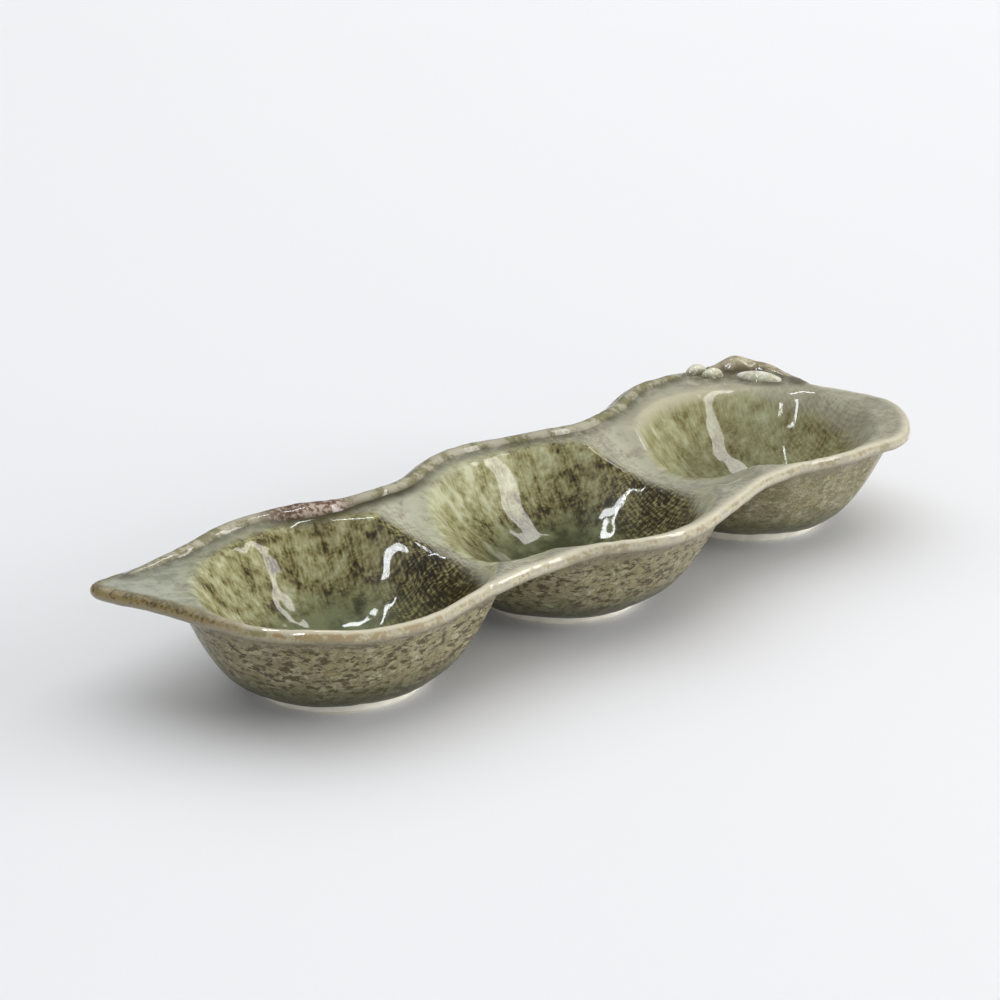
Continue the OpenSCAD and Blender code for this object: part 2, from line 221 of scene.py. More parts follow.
def hollowDepth(i, p):
    return wellDepth * soft(1 - hollowShare(i, p) ** hollowShape["power"], hollowShape["softness"])


def dipDepth(x, p):
    s = hollowShape
    along = (p[..., 0] - x) / s["dipLength"]
    across = (p[..., 1] - axisY(np.array(x)) + s["dipLean"]) / s["dipWidth"]
    return s["dip"] * soft(1 - along ** 2 - across ** 2, s["softness"])


def topHeight(p):
    k = hollowShape["blend"]
    total = sum(hollowDepth(i, p) ** k for i in range(3))
    total = total + sum(dipDepth(x, p) ** k for x in (-tipPitch / 2, stemPitch / 2))
    return rimHeight - total ** (1 / k)


def wallReach(i, away):
    s = wallShape
    far = np.maximum(np.hypot(away[..., 0], away[..., 1]), 1e-6)
    oval = far / np.maximum(np.hypot(away[..., 0] / s["lengths"][i], away[..., 1] / s["widths"][i]), 1e-9)
    oval = oval - s["lean"] * away[..., 1] / far
    x = np.clip(away[..., 0] + wells[i][0], -tipPitch, stemPitch)
    across = away[..., 1] + wells[i][1] - axisY(x)
    width = np.where(across < 0, frontWidth(x), seamWidth(x))
    edge = far / np.maximum(np.abs(across) / width, s["leastShare"])
    if i == 0:
        angle = np.degrees(np.arctan2(away[..., 1], np.maximum(-away[..., 0], 0)))
        edge = np.where(away[..., 0] < 0, tipRadius(angle), edge)
    if i == 2:
        angle = np.degrees(np.arctan2(away[..., 1], np.maximum(away[..., 0], 0)))
        edge = np.where(away[..., 0] > 0, stemRadius(angle), edge)
    return np.minimum(oval, edge - s["leastBrim"])


def underHeight(p):
    s = wallShape
    rimUnder = rimHeight - 2 * s["lipRadius"]
    drop = rimUnder - seatHeight
    seat = footRadius + s["seatMargin"]
    total = 0
    for i in range(3):
        away = p - wells[i]
        far = np.hypot(away[..., 0], away[..., 1])
        share = np.maximum(far - seat, 0) / (wallReach(i, away) - seat)
        depth = drop * np.minimum(1, soft(1 - share ** s["power"], s["softness"]))
        total = total + depth ** hollowShape["blend"]
    wall = rimUnder - np.minimum(drop, total ** (1 / hollowShape["blend"]))
    return np.minimum(wall, topHeight(p) - 2 * s["lipRadius"])


def alongAcross(x, y, angle):  # the same spot, measured along and across a direction
    return x * cos(angle) + y * sin(angle), y * cos(angle) - x * sin(angle)


unevenness = {  # lengths and height of the waves
    "broad": ((47, 33, 26), 0.22),
    "ripple": ((9.5, 7.3, 6.1, 5.2), 0.035),
}
waveTurn, waveStretch = 2.4, 1.7  # turn from wave to wave, and how much longer each is across


def uneven(p):  # slight hand-made waves of the pressed clay and its glaze
    total = np.zeros(p.shape[:-1])
    for lengths, height in unevenness.values():
        for i, length in enumerate(lengths):
            along, across = alongAcross(p[..., 0], p[..., 1], waveTurn * i + length)
            total += (height * np.sin(2 * pi * along / length + length)
                      * np.cos(2 * pi * across / length / waveStretch))
    return total


# Coils of clay laid on the rim: lines of x, y, width and height

ribShape = {
    "width": 5.5, "height": 2.2, "gap": 0.4, "fullness": 14,
    "tipStart": 38, "stemEnd": 70,  # degrees round the end wells
    "steps": 260, "tipSteps": 60, "stemSteps": 30,
    "foldWidth": 3.2, "foldHeight": 1.0, "foldPlace": 0.77, "foldHalfLength": 16,  # beside the tip well
    "profile": (2.2, 1.0),  # fullness and peak of the section
}
stalkShape = {
    "width": 7.2, "height": 4.9, "from": 55, "to": 14, "steps": 60,
    "stations": ((0, 0.3), (0.25, 1), (0.48, 0.55), (0.85, 0.14), (1, 0.1)),  # share of the way, size
    "profile": (2.2, 0.8),
}
leafShape = {
    "angle": 34.5, "inset": 12.4, "turn": -70, "length": 14.5, "width": 7.2, "height": 2.8, "fullness": 1.4,
    "profile": (2.0, 0.9),
}
outerBudShape = {
    "angle": 61.5, "inset": 4.3, "turn": -8, "length": 7.6, "width": 4.8, "height": 3.4, "fullness": 2,
    "profile": (2.0, 0.6),
}
innerBudShape = {**outerBudShape, "turn": -12, "beside": 5.4, "sideAngle": -75}
bluntEnd = 0.25


def swelling(share, fullness):
    return bluntEnd + (1 - bluntEnd) * np.sqrt(np.clip(1 - np.abs(2 * share - 1) ** fullness, 0, 1))


def ribLine():
    s = ribShape
    tip = tipPoint(np.linspace(s["tipStart"], 90, s["tipSteps"], endpoint=False))
    side = seamPoint(np.linspace(-tipPitch, stemPitch, s["steps"], endpoint=False))
    stem = stemPoint(np.linspace(90, s["stemEnd"], s["stemSteps"]))
    line = np.concatenate([tip, side, stem])
    along = np.gradient(line, axis=0)
    inward = np.stack([along[:, 1], -along[:, 0]], -1)
    inward /= np.linalg.norm(inward, axis=1, keepdims=True)
    size = swelling(np.linspace(0, 1, len(line)), s["fullness"])
    fromFold = np.abs(line[:, 0] + s["foldPlace"] * tipPitch) / s["foldHalfLength"]
    fold = 0.5 + 0.5 * np.cos(pi * np.minimum(1, fromFold))
    width = s["width"] + s["foldWidth"] * fold
    height = s["height"] + s["foldHeight"] * fold
    middle = line + inward * (s["gap"] + width / 2)[:, None]
    return np.column_stack([middle, width * size, height * size])


def stalkLine():
    s = stalkShape
    share = np.linspace(0, 1, s["steps"])
    angle = s["from"] + (s["to"] - s["from"]) * share
    size = wave(s["stations"], share)
    width = s["width"] * np.sqrt(size)
    turn = np.radians(angle)
    inset = (ribShape["gap"] + width / 2)[:, None] * np.stack([np.cos(turn), np.sin(turn)], -1)
    return np.column_stack([stemPoint(angle) - inset, width, s["height"] * size])


def sprigLine(s, steps=28):
    angle, turn = radians(s["angle"]), radians(s["turn"])
    centre = stemPoint(np.array(s["angle"])) - s["inset"] * np.array((cos(angle), sin(angle)))
    side = radians(s.get("sideAngle", 0))
    centre = centre + s.get("beside", 0) * np.array((cos(side), sin(side)))
    share = np.linspace(0, 1, steps)
    size = swelling(share, s["fullness"])
    line = centre + np.outer((share - 0.5) * s["length"], (cos(turn), sin(turn)))
    return np.column_stack([line, s["width"] * size, s["height"] * size])


coils = {"seam_rib": ribLine(), "stem_stalk": stalkLine(), "leaf": sprigLine(leafShape),
         "outer_bud": sprigLine(outerBudShape), "inner_bud": sprigLine(innerBudShape)}


def coilDistance(p):  # distance outside the nearest coil's edge
    flat = p.reshape(-1, 2)
    nearest = np.full(len(flat), np.inf)
    for line in coils.values():
        for x, y, width, _ in line:
            nearest = np.minimum(nearest, np.hypot(flat[:, 0] - x, flat[:, 1] - y) - width / 2)
    return nearest.reshape(p.shape[:-1])


# Meshes

weldDistance = 1e-7


def makePiece(name, points, faces, values, vectors=None):
    mesh = bpy.data.meshes.new(name)
    mesh.from_pydata(((points + [*podMiddle, 0]) * mm).tolist(), [], faces)
    for key, value in values.items():
        layer = mesh.attributes.new(key, "FLOAT", "POINT")
        layer.data.foreach_set("value", np.ascontiguousarray(value, np.float32))
    for key, value in (vectors or {}).items():
        layer = mesh.attributes.new(key, "FLOAT_VECTOR", "POINT")
        layer.data.foreach_set("vector", np.ascontiguousarray(value, np.float32).ravel())
    work = bmesh.new()
    work.from_mesh(mesh)
    bmesh.ops.remove_doubles(work, verts=work.verts, dist=weldDistance)
    bmesh.ops.recalc_face_normals(work, faces=work.faces)
    work.to_mesh(mesh)
    work.free()
    mesh.shade_smooth()
    piece = bpy.data.objects.new(name, mesh)
    bpy.context.scene.collection.objects.link(piece)
    return piece


def stitched(rings, count):  # faces between closed rings of points
    faces = []
    for a in range(rings - 1):
        near, far = a * count, (a + 1) * count
        for i in range(count):
            step = (i + 1) % count
            faces.append((near + i, near + step, far + step, far + i))
    return faces


shellMesh = {
    "rings": 66,
    "lipSteps": 10,
    "fillet": 0.7,  # clay smoothed against the coils
    "filletWidth": 2.2,
    "thinSide": radians(-42),  # the glaze runs thin on this side of each well
    "lipFadeTop": 1.1,
    "lipFadeUnder": 0.7,
    "creaseWidth": 2.1,
    "rearFade": 0.12,
    "runLength": 0.5,  # of the glaze's drips, which differ from well to well
    "runApart": 5.0,
}


def podShell():
    s = shellMesh
    line, spineX = podOutline()
    normal = outward(line)
    spine = np.stack([spineX, np.interp(spineX, hollows[:, 0], hollows[:, 1])], -1)
    spine[:, 0] = np.clip(spine[:, 0], hollows[0][0], hollows[2][0])
    shares = np.linspace(0, 1, s["rings"] + 1)[:, None, None]
    plan = spine + (line - spine) * shares
    brim = np.linalg.norm(line - plan, axis=-1)
    fillet = s["fillet"] * np.clip(1 - coilDistance(plan) / s["filletWidth"], 0, 1) ** 2
    top = topHeight(plan) + uneven(plan)
    under = underHeight(plan) + uneven(plan)
    turns = np.linspace(90, -90, s["lipSteps"] + 1)[1:-1]
    radius = wallShape["lipRadius"]
    lipLow = under[-1]
    rings, parts = [], []
    for k in range(len(plan)):
        rings.append(np.column_stack([plan[k], top[k] + fillet[k]]))
        parts.append((plan[k], np.exp(-(brim[k] / s["lipFadeTop"]) ** 2), 0))
    for turn in turns:
        side = line + normal * radius * cos(radians(turn))
        share = 0.5 - 0.5 * sin(radians(turn))
        rings.append(np.column_stack([side, top[-1] + (lipLow - top[-1]) * share]))
        parts.append((line, np.ones(len(line)), share))
    for k in range(len(plan) - 1, -1, -1):
        rings.append(np.column_stack([plan[k], under[k]]))
        parts.append((plan[k], np.exp(-(brim[k] / s["lipFadeUnder"]) ** 2), 1))
    count = len(line)
    faces = stitched(len(rings), count)
    where = np.concatenate([part[0] for part in parts])
    depths = np.stack([hollowDepth(i, where) for i in range(3)])
    fromWells = np.stack([hollowShare(i, where) for i in range(3)])
    nearest, share = np.argmin(fromWells, 0), np.min(fromWells, 0)
    away = where - hollows[nearest]
    angle = np.arctan2(away[:, 1], away[:, 0])
    lengthwise = away[:, 0] / np.array(hollowShape["lengths"])[nearest]
    widthwise = away[:, 1] / np.array(hollowShape["widths"])[nearest]
    values = {
        "sink": depths.max(0) / wellDepth,
        "turn": lengthwise * cos(s["thinSide"]) + widthwise * sin(s["thinSide"]),
        "lip": np.concatenate([part[1] for part in parts]),
        "outside": np.concatenate([np.full(count, part[2]) for part in parts]),
        # mask for painted shade in the creases beside the coils
        "crease": np.exp(-(np.clip(coilDistance(where), 0, None) / s["creaseWidth"]) ** 2),
        "rear": np.clip(widthwise, 0, 1) * np.exp(-(np.clip(share - 1, 0, None) / s["rearFade"]) ** 2),
    }
    run = np.stack([np.cos(angle), np.sin(angle), s["runLength"] * share + s["runApart"] * nearest], -1)
    return makePiece("pod_shell_glazed", np.concatenate(rings), faces, values, {"run": run})


coilMesh = {"sides": 20, "sink": 0.8, "creaseWidth": 0.9}  # sink: how far a coil's base lies in the rim


def coilPiece(name, line, profile):
    s = coilMesh
    fullness, peak = profile
    along = np.gradient(line[:, :2], axis=0)
    side = np.stack([along[:, 1], -along[:, 0]], -1)
    side /= np.linalg.norm(side, axis=1, keepdims=True)
    across = np.sin(np.linspace(-pi / 2, pi / 2, s["sides"] + 1))
    section = (1 - np.abs(across) ** fullness) ** peak
    points, crease = [], []
    for (x, y, width, height), direction in zip(line, side):
        plan = np.array((x, y)) + np.outer(across * width / 2, direction)
        base = topHeight(plan) + uneven(plan)
        points.append(np.column_stack([plan, base + height * section]))
        points.append(np.column_stack([plan[[-1, 0]], base[[-1, 0]] - s["sink"]]))
        fromEdge = (1 - np.abs(across)) * width / 2
        # mask for painted shade along the coil's edges, where it meets the rim
        crease.append(np.concatenate([np.exp(-(fromEdge / s["creaseWidth"]) ** 2), (1, 1)]))
    ring = s["sides"] + 3
    last = len(line) - 1
    faces = stitched(len(line), ring)
    faces += [tuple(range(ring)), tuple(last * ring + i for i in range(ring))]
    values = {"crease": np.concatenate(crease), "coil": np.ones(ring * len(line))}
    return makePiece(name, np.concatenate(points), faces, values)


# Shader nodes

def pick(sockets, key):
    if isinstance(key, int):
        return sockets[key]
    found = [s for s in sockets if s.identifier == key] or [s for s in sockets if s.name == key]
    return found[0]


class Wire:  # a socket of one finish; sums on it add Math nodes
    def __init__(self, finish, socket):
        self.finish, self.socket = finish, socket

    def maths(self, operation, *values):
        return self.finish.node("ShaderNodeMath", {"operation": operation}, dict(enumerate(values)))

    def __add__(self, other):
        return self.maths("ADD", self, other)

    def __sub__(self, other):
        return self.maths("SUBTRACT", self, other)

    def __rsub__(self, other):
        return self.maths("SUBTRACT", other, self)

    def __mul__(self, other):
        return self.maths("MULTIPLY", self, other)

    __radd__ = __add__
    __rmul__ = __mul__

    def sine(self):
        return self.maths("SINE", self)

    def most(self, other):
        return self.maths("MAXIMUM", self, other)

    def size(self):
        return self.maths("ABSOLUTE", self)


class Finish:  # the nodes of one material, or of the world
    def __init__(self, owner):
        self.owner = owner
        owner.use_nodes = True
        self.tree = owner.node_tree
        self.tree.nodes.clear()

    def node(self, kind, settings=None, sockets=None, out=0):
        made = self.tree.nodes.new(kind)
        for key, value in (settings or {}).items():
            if key == "stops":
                ramp = made.color_ramp.elements
                while len(ramp) < len(value):
                    ramp.new(1)
                for element, (place, colour) in zip(ramp, value):
                    element.position, element.color = place, colour
            else:
                setattr(made, key, value)
        for key, value in (sockets or {}).items():
            entry = pick(made.inputs, key)
            if isinstance(value, Wire):
                self.tree.links.new(value.socket, entry)
            else:
                entry.default_value = value
        return Wire(self, pick(made.outputs, out)) if made.outputs else None

    def place(self):  # position on the object, in millimetres
        spot = self.node("ShaderNodeTexCoord", out="Object")
        return self.node("ShaderNodeVectorMath", {"operation": "SCALE"},
                         {"Vector": spot, "Scale": 1 / mm}, "Vector")

    def parts(self, vector):
        made = self.node("ShaderNodeSeparateXYZ", None, {"Vector": vector})
        return [Wire(self, socket) for socket in made.socket.node.outputs]

    def noise(self, vector, scale, detail=3.0, roughness=0.55):
        sockets = {"Vector": vector, "Scale": scale, "Detail": detail, "Roughness": roughness}
        return self.node("ShaderNodeTexNoise", None, sockets, "Fac")

    def mesh(self, name, out="Fac"):
        return self.node("ShaderNodeAttribute", {"attribute_name": name}, None, out)

    def between(self, value, low, high):  # smooth step from low to high
        return self.node("ShaderNodeMapRange", {"interpolation_type": "SMOOTHSTEP"},
                         {"Value": value, "From Min": low, "From Max": high})

    def blend(self, share, first, second):
        return self.node("ShaderNodeMix", {"data_type": "RGBA"},
                         {"Factor_Float": share, "A_Color": first, "B_Color": second}, "Result_Color")

    def ramp(self, value, stops):
        return self.node("ShaderNodeValToRGB", {"stops": stops}, {"Fac": value}, "Color")

    def near(self, vector, spot, inner, outer):  # 1 near a spot, 0 beyond the outer distance
        far = self.node("ShaderNodeVectorMath", {"operation": "DISTANCE"}, {0: vector, 1: spot}, "Value")
        return 1 - self.between(far, inner, outer)

    def surface(self, sockets, bumpHeight=None, bump=None):
        if bumpHeight is not None:
            bumped = self.node("ShaderNodeBump", None, {**bump, "Height": bumpHeight})
            sockets = {**sockets, "Normal": bumped}
        shader = self.node("ShaderNodeBsdfPrincipled", None, sockets)
        self.node("ShaderNodeOutputMaterial", None, {"Surface": shader})
        return self.owner


def tint(red, green, blue):
    return (red, green, blue, 1)


# Finishes

glaze = {
    "thin": tint(0.024, 0.018, 0.005),  # inside colours, from thin brown glaze to thick celadon
    "brown": tint(0.080, 0.062, 0.019),
    "olive": tint(0.215, 0.192, 0.078),
    "green": tint(0.330, 0.322, 0.165),
    "celadon": tint(0.500, 0.500, 0.325),
    "pool": tint(0.055, 0.062, 0.017),
    "poolPale": tint(0.185, 0.205, 0.090),
    "webGrey": tint(0.275, 0.252, 0.195),
    "webTan": tint(0.375, 0.360, 0.260),
    "webPale": tint(0.470, 0.465, 0.355),
    "webGreen": tint(0.460, 0.462, 0.345),
    "webStem": tint(0.470, 0.435, 0.300),
    "tipPale": tint(0.450, 0.455, 0.365),
    "tipShade": tint(0.285, 0.298, 0.205),
    "lip": tint(0.515, 0.465, 0.325),
    "lipGrey": tint(0.410, 0.380, 0.300),
    "lipShade": tint(0.345, 0.292, 0.190),
    "lipBrown": tint(0.345, 0.245, 0.105),
    "lipOlive": tint(0.275, 0.260, 0.115),
    # painted shade on the lip's lower half, where it turns under toward the wall
    "lipLow": tint(0.190, 0.150, 0.085),
    # painted highlight: cream standing in for the lamps' reflection along the lip's crest
    "lipHighlight": tint(0.680, 0.630, 0.480),
    "gold": tint(0.270, 0.195, 0.072),
    "goldLow": tint(0.250, 0.200, 0.135),
    "goldSpeck": tint(0.060, 0.052, 0.017),
    "ribPale": tint(0.405, 0.377, 0.280),
    "ribOlive": tint(0.215, 0.200, 0.105),
    "stalkTan": tint(0.500, 0.440, 0.310),
    "stalkBrown": tint(0.300, 0.250, 0.150),
    "plum": tint(0.115, 0.070, 0.045),
    "plumBrown": tint(0.225, 0.150, 0.102),
    "plumPale": tint(0.420, 0.345, 0.285),
    # painted shade in the creases beside the coils
    "crease": tint(0.042, 0.036, 0.014),
    "outerPale": tint(0.375, 0.352, 0.218),
    "outerTan": tint(0.265, 0.230, 0.122),
    "outerGreen": tint(0.180, 0.184, 0.090),
    "outerVein": tint(0.052, 0.035, 0.011),
    # painted shade: grey band at the top of the wall, under the lip
    "outerUnderLipShade": tint(0.185, 0.158, 0.105),
    "footBand": tint(0.050, 0.047, 0.017),
    "tipLine": radians(-32.3),  # direction from the tip to its well
    "tipSpot": (-126, 31, 30),  # the tip, the seam's fold and the pinch beside it, in millimetres
    "plumSpot": (-58.5, 33, 31),
    "pinchSpot": (-45, 28, 31),
    "stemWell": (36, 52),  # x from which the end wells and the stalk take their own colours
    "tipWell": (-48, -32),
    "stalk": (100, 108),
    "clothPitch": 1.5,
    "clothTurn": 0.45,
    "clothSwirl": (9, 7),
    "dashStretch": (1, 1, 1.8),
    "specular": 0.15,
    "coatRoughness": 0.05,
    "bump": {"Strength": 0.4, "Distance": 0.3 * mm},
}
glazeNoise = {  # scale for each millimetre, detail and roughness
    "cloud": (0.05, 3, 0.55),
    "patch": (0.2, 5, 0.55),
    "grain": (0.85, 3, 0.55),
    "swirl": (0.1, 2, 0.55),
    "mottle": (0.30, 4, 0.65),
    "ripple": (0.33, 2, 0.55),
    "speckle": (1.1, 3, 0.55),
    "linen": (0.75, 2, 0.6),
    "dash": (0.42, 3, 0.66),
    "drip": (10, 3, 0.55),  # on directions that the shell's mesh carries
    "streak": (1, 4, 0.6),
}


def podGlaze():
    g, c, n = Finish(bpy.data.materials.new("podGlaze")), glaze, glazeNoise
    place = g.place()
    x, y, z = g.parts(place)
    sink, turn, lip, outside = (g.mesh(name) for name in ("sink", "turn", "lip", "outside"))
    crease, coil, rear = (g.mesh(name) for name in ("crease", "coil", "rear"))
    cloud, patch, grain = (g.noise(place, *n[name]) for name in ("cloud", "patch", "grain"))
    swirl, mottle, ripple = (g.noise(place, *n[name]) for name in ("swirl", "mottle", "ripple"))
    cloudy, patchy, grainy, mottled = (value - 0.5 for value in (cloud, patch, grain, mottle))
    drip = g.noise(g.mesh("run", "Vector"), *n["drip"])
    linen = g.noise(g.node("ShaderNodeCombineXYZ", None, {"X": x, "Y": y}), *n["linen"])
    stemWell, tipWell = g.between(x, *c["stemWell"]), 1 - g.between(x, *c["tipWell"])
    middleWell = 1 - stemWell - tipWell
    thinned = g.between(turn + cloudy * 0.4 + patchy * 0.35 - middleWell * 0.1, 0.0, 0.5)
    along, across = alongAcross(x, y, c["clothTurn"])
    warp, weft = along + swirl * c["clothSwirl"][0], across + swirl * c["clothSwirl"][1]
    threadTurn = 2 * pi / c["clothPitch"]
    threads = (warp * threadTurn).sine() * (weft * threadTurn).sine()
    cloth = linen + threads * (0.06 + thinned * 0.08)
    woven = cloth - 0.5

    # inside of the wells: celadon on the tip side, thin brown glaze with cloth marks on the stalk side
    tone = 0.66 - turn * (0.14 + middleWell * 0.05 - stemWell * 0.04)
    tone = tone + stemWell * 0.10 + middleWell * 0.02
    tone = tone - thinned * (0.38 - stemWell * 0.33 + tipWell * 0.12)
    lower = (1 - thinned) * g.between(turn, -1.35, -0.85)
    tone = tone - lower * (0.12 + tipWell * 0.08 + stemWell * 0.03)
    tone = tone - g.between(sink, 0.3, 0.8) * (1 - stemWell - tipWell * 0.7) * (1 - thinned) * 0.16
    blotched = patchy * (1.5 - thinned * 0.6) + (drip - 0.5) * (1.0 - thinned * 0.6)
    tone = tone + cloudy * 0.6 + blotched * (1 - stemWell * 0.35)
    wall = g.ramp(tone + woven * (1.9 - stemWell * 0.6) * (1.1 - tone), [
        (0.0, c["thin"]), (0.22, c["brown"]), (0.48, c["olive"]), (0.72, c["green"]), (1.0, c["celadon"])])
    pooled = g.between(sink + patchy * 0.35, 0.50, 0.90) * (0.95 - stemWell * 0.65) * (1 - thinned * 0.8)
    poolTone = cloud + patchy * 1.6 + tipWell * 0.32
    pool = g.blend(g.between(poolTone, 0.28, 1.0), c["pool"], c["poolPale"])
    inner = g.blend(pooled, wall, pool)

    # rim, webs and saddles, with streaks at the tip
    web = g.ramp(patch + woven * 1.1 + cloudy * 0.6, [
        (0.25, c["webGrey"]), (0.52, c["webTan"]), (0.8, c["webPale"])])
    right, left = turn.most(0), (0 - turn).most(0)
    web = g.blend(g.between(left, 0.1, 0.8) * g.between(patch, 0.35, 0.55) * 0.8, web, c["webGreen"])
    web = g.blend(stemWell * (0.15 + rear * 0.7), web, c["webStem"])
    along, across = alongAcross(x, y, c["tipLine"])
    combed = g.node("ShaderNodeCombineXYZ", None, {"X": along * 0.05, "Y": across * 0.45})
    tipTone = g.noise(combed, *n["streak"]) * 0.4 + patch * 0.9 + woven * 0.4
    tipTint = g.blend(g.between(tipTone, 0.48, 0.80), c["tipShade"], c["tipPale"])
    web = g.blend(g.near(place, c["tipSpot"], 22, 46), web, tipTint)
    fade = 0.11 + left * 0.14 + right * (0.16 + stemWell * 0.12)
    spread = rear * (0.12 + tipWell * 0.10 - stemWell * 0.12)
    edge = g.between(sink + spread + patchy * 0.22 - right * 0.17, 0.0, fade)
    top = g.blend(edge, web, inner)

    # outer walls: dark dashes on tan and pale patches, greener low down,
    # with painted shade as a grey band under the lip, and a dark band over the feet
    veins = 1 - g.between(mottled.size(), 0.005, 0.03 + cloud * 0.09)
    stretched = g.node("ShaderNodeVectorMath", {"operation": "MULTIPLY"},
                       {0: place, 1: c["dashStretch"]}, "Vector")
    dashTone = g.noise(stretched, *n["dash"]) + mottled * 0.3 + patchy * 0.2
    dashes = g.between(dashTone, 0.45, 0.61) * (0.9 - stemWell * 0.32)
    outer = g.blend(g.between(patch + mottled * 0.8, 0.36, 0.68), c["outerTan"], c["outerPale"])
    outer = g.blend((1 - g.between(z + patchy * 14, 6.0, 16.0)) * 0.6, outer, c["outerGreen"])
    outer = g.blend((veins * 0.4).most(dashes), outer, c["outerVein"])
    # painted shade: a grey band at the top of the wall, under the lip
    outer = g.blend(g.between(z + patchy * 5, 22.5, 26.0) * 0.6, outer, c["outerUnderLipShade"])
    overFeet = (1 - g.between(z + patchy * 7, 4.0, 13.5)) * (0.9 - stemWell * 0.3)
    outer = g.blend(overFeet, outer, c["footBand"])
    base = g.blend(outside, top, outer)

    # seam rib, stalk and the plum stain of the fold
    ribTone = patch + grainy * 0.5
    rib = g.blend(g.between(ribTone, 0.45, 0.62), c["ribPale"], c["ribOlive"])
    stalk = g.blend(g.between(ribTone, 0.40, 0.62), c["stalkTan"], c["stalkBrown"])
    rib = g.blend(g.between(x, *c["stalk"]), rib, stalk)
    plum = g.ramp(grain + patchy * 0.6, [
        (0.40, c["plum"]), (0.48, c["plumBrown"]), (0.56, c["plumPale"])])
    rib = g.blend(g.near(place, c["plumSpot"], 8, 17), rib, plum)
    base = g.blend(coil, base, rib)
    stain = g.near(place, c["plumSpot"], 9, 16) * (1 - coil) * (1 - outside)
    stain = stain * g.between(patch + grainy * 0.6, 0.42, 0.60)
    base = g.blend(stain * (1 - edge * 0.6) * 0.8, base, c["plumBrown"])

    # lip, golden at the tip, with a painted highlight along its crest and painted shade on its lower half,
    # and painted shade in the creases beside the coils
    goldShare = g.near(place, c["tipSpot"], 26, 62) * g.between(cloud + patchy * 0.5, 0.12, 0.4)
    rimTone = patch * 0.6 + swirl * 0.4 + grainy * 0.6
    rimTint = g.ramp(rimTone, [(0.40, c["lipGrey"]), (0.48, c["lip"]), (0.57, c["lipShade"])])
    warm = g.ramp(rimTone, [(0.38, c["lipOlive"]), (0.48, c["lip"]), (0.58, c["lipBrown"])])
    rimTint = g.blend(g.near(place, c["tipSpot"], 45, 95), rimTint, warm)
    gold = g.blend(g.between(outside, 0.35, 0.9), c["gold"], c["goldLow"])
    speckled = g.between(g.noise(place, *n["speckle"]) + patchy * 0.5 - outside * 0.3, 0.42, 0.54)
    gold = g.blend(speckled * 0.8, gold, c["goldSpeck"])
    rimTint = g.blend(goldShare, rimTint, gold)
    # painted highlight along the lip's crest, weaker at the golden tip
    crestHighlight = (1 - g.between(outside, 0.03, 0.22)) * (1 - goldShare * 0.85)
    rimTint = g.blend(crestHighlight * 0.8, rimTint, c["lipHighlight"])
    # painted shade: the lip's lower half darkens toward the wall
    rimTint = g.blend(g.between(outside + patchy * 0.5, 0.35, 0.95) * 0.8, rimTint, c["lipLow"])
    worn = g.between(outside + patchy * 0.6, 0.40, 1.0) * 0.7  # the wall's flecks climb under the lip
    base = g.blend(lip * (0.7 + 0.4 * patch) * (1 - worn), base, rimTint)
    # painted shade: darkens the creases beside the coils, most at the pinch by the fold
    pinch = g.near(place, c["pinchSpot"], 16, 40)
    creaseShadeShare = crease * (g.between(patch, 0.25, 0.60) * 0.75).most(pinch * 0.95)
    base = g.blend(creaseShadeShare, base, c["crease"])

    pressed = thinned * edge * (1 - outside)  # the cloth shows in relief where the glaze is thin
    height = cloth * (0.6 + pressed * 2.2) + ripple * (1.2 + pressed)
    height = height + patch * 0.5 + grain * 0.35 - veins * outside * 0.5
    gloss = 0.85 - outside * (1 - lip) * 0.5 - pressed * g.between(cloth, 0.46, 0.56) * 0.75
    return g.surface(
        {"Base Color": base, "Roughness": 0.30 + patch * 0.2, "Specular IOR Level": c["specular"],
         "Coat Weight": gloss, "Coat Roughness": c["coatRoughness"]},
        height, c["bump"])


leafGlaze = {
    # pale glaze of the buds and leaf, lightened further as a painted highlight for the reflection on the
    # leaf
    "pale": tint(0.88, 0.85, 0.77),
    "green": tint(0.60, 0.60, 0.42),
    # painted shade: dark outline where the buds and the leaf meet the rim
    "edge": tint(0.13, 0.11, 0.055),
    "patch": (0.3, 3),  # scale for each millimetre and detail of its noises
    "grain": (1.1, 2),
    "specular": 0.15,
    "coat": 0.85,
    "coatRoughness": 0.06,
    "bump": {"Strength": 0.25, "Distance": 0.25 * mm},
}


def budGlaze():
    g, c = Finish(bpy.data.materials.new("leafGlaze")), leafGlaze
    place = g.place()
    patch, grain = g.noise(place, *c["patch"]), g.noise(place, *c["grain"])
    base = g.blend(g.between(patch + (grain - 0.5) * 0.4, 0.38, 0.62), c["pale"], c["green"])
    # painted shade along the edges of the buds and the leaf
    base = g.blend(g.mesh("crease") * g.between(grain, 0.2, 0.5) * 0.9, base, c["edge"])
    return g.surface(
        {"Base Color": base, "Roughness": 0.28 + grain * 0.12, "Specular IOR Level": c["specular"],
         "Coat Weight": c["coat"], "Coat Roughness": c["coatRoughness"]},
        patch + grain * 0.4, c["bump"])


bareClay = {
    "cream": tint(0.88, 0.84, 0.74),
    "grey": tint(0.78, 0.73, 0.62),
    "speck": tint(0.50, 0.43, 0.32),
    "patch": (0.25, 4),
    "grain": (2.2, 3),
    "bump": {"Strength": 0.3, "Distance": 0.15 * mm},
}


def clayFinish():
    g, c = Finish(bpy.data.materials.new("bareClay")), bareClay
    place = g.place()
    patch, grain = g.noise(place, *c["patch"]), g.noise(place, *c["grain"])
    base = g.blend(g.between(patch, 0.35, 0.7), c["cream"], c["grey"])
    base = g.blend(g.between(grain, 0.68, 0.76), base, c["speck"])
    return g.surface({"Base Color": base, "Roughness": 0.75 + grain * 0.2}, grain, c["bump"])


# Dress the frame

